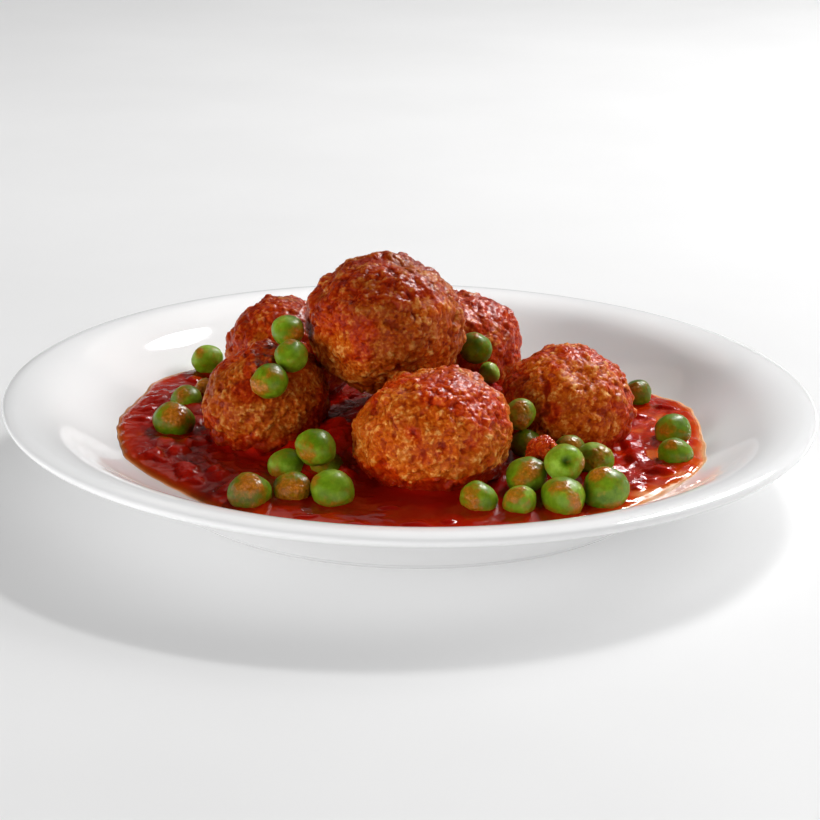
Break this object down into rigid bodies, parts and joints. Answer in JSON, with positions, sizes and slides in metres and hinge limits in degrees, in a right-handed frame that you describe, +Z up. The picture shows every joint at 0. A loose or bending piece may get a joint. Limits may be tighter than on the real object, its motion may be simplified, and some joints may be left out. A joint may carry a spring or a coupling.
{
  "type": "plate of meatballs in tomato sauce",
  "caption": "Round white plate with a pile of browned meatballs in thick tomato sauce, dotted with green peas.",
  "frame": {"origin": "on the table under the middle of the plate", "axes": "+Z up along the plate's axis, -Y towards the viewer, +X to the viewer's right"},
  "size_m": [0.2098, 0.2098, 0.0593],
  "materials": {
    "plate": "white gloss glaze",
    "sauce": "wet thick tomato sauce",
    "meatball": "rough browned minced meat, partly glazed with sauce",
    "pea": "moist cooked pea skin",
    "tomato": "wet soft tomato"
  },
  "bodies": {
    "root": {"meatball_back_left": "meatball", "meatball_back_right": "meatball", "meatball_front": "meatball", "meatball_left": "meatball", "meatball_right": "meatball", "meatball_top": "meatball", "pea_01": "pea", "pea_02": "pea", "pea_03": "pea", "pea_04": "pea", "pea_05": "pea", "pea_06": "pea", "pea_07": "pea", "pea_08": "pea", "pea_09": "pea", "pea_10": "pea", "pea_11": "pea", "pea_12": "pea", "pea_13": "pea", "pea_14": "pea", "pea_15": "pea", "pea_16": "pea", "pea_17": "pea", "pea_18": "pea", "pea_19": "pea", "pea_20": "pea", "pea_21": "pea", "pea_22": "pea", "pea_23": "pea", "pea_24": "pea", "pea_25": "pea", "pea_26": "pea", "pea_27": "pea", "pea_28": "pea", "pea_29": "pea", "pea_30": "pea", "pea_31": "pea", "pea_32": "pea", "pea_33": "pea", "pea_34": "pea", "pea_35": "pea", "plate": "plate", "sauce": "sauce", "tomato_piece": "tomato"}
  },
  "joints": []
}
